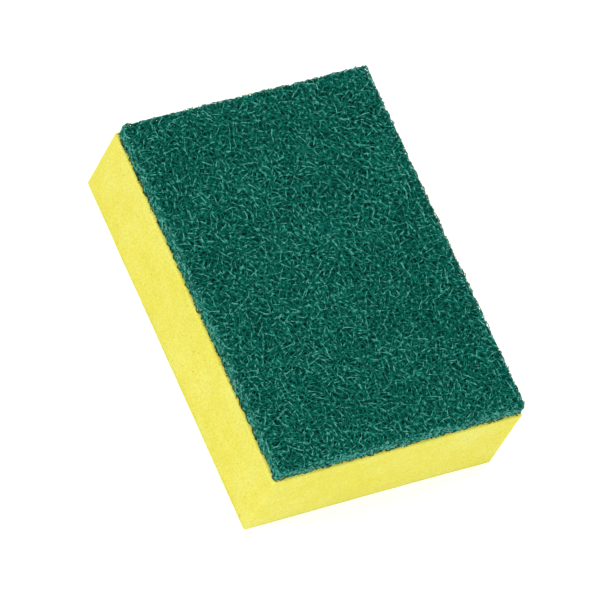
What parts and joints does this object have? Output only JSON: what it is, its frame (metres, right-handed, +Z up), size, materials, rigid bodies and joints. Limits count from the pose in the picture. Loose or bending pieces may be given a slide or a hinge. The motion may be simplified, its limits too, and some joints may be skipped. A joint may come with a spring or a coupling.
{
  "type": "scouring sponge",
  "caption": "Washing-up sponge: a block of soft yellow open-cell foam with a stiff green pad of bonded scouring fibres glued over its upper face.",
  "frame": {"origin": "the middle of the foam's underside, on the plane that the sponge rests on", "axes": "+X along the sponge's length, +Y across its width, +Z up through the foam to the scouring pad"},
  "size_m": [0.1, 0.07, 0.0302],
  "materials": {
    "foam": "soft open-cell polyurethane foam, matt, pale lemon yellow",
    "glue": "clear laminating glue, faintly amber, seen only at a peeled edge",
    "scouring_fibre": "stiff resin-bonded fibre web, matt with small glints, dark teal green"
  },
  "bodies": {
    "root": {"foam_block": "foam", "glue_film": "glue", "scour_pad": "scouring_fibre"}
  },
  "joints": []
}
